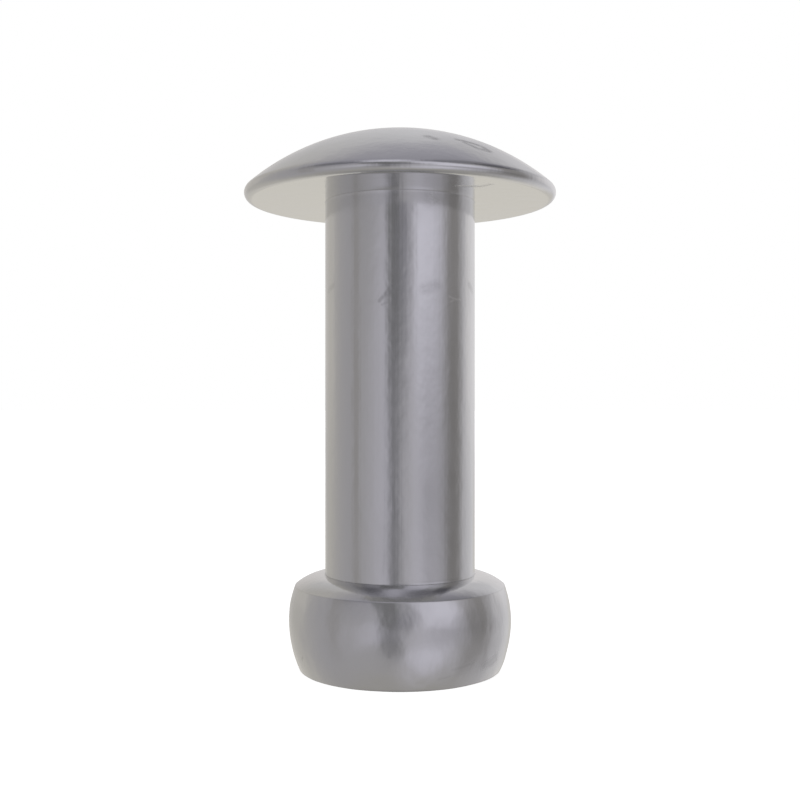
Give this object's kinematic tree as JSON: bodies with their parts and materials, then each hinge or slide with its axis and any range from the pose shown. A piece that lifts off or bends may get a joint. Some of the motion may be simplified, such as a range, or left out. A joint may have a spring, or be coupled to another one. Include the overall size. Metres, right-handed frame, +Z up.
{
  "type": "solid rivet",
  "caption": "Driven solid steel rivet: a wide, low mushroom head with a flat underside, a plain round shank and a barrel-shaped upset tail.",
  "frame": {"origin": "centre of the flat foot of the tail, which the rivet stands on", "axes": "+Z up along the rivet's axis, from the tail's foot towards the head's crown; the rivet is round, so X and Y are free"},
  "size_m": [0.0104, 0.0104, 0.0178],
  "materials": {
    "steel": "satin"
  },
  "bodies": {
    "root": {"rivet": "steel"}
  },
  "joints": []
}
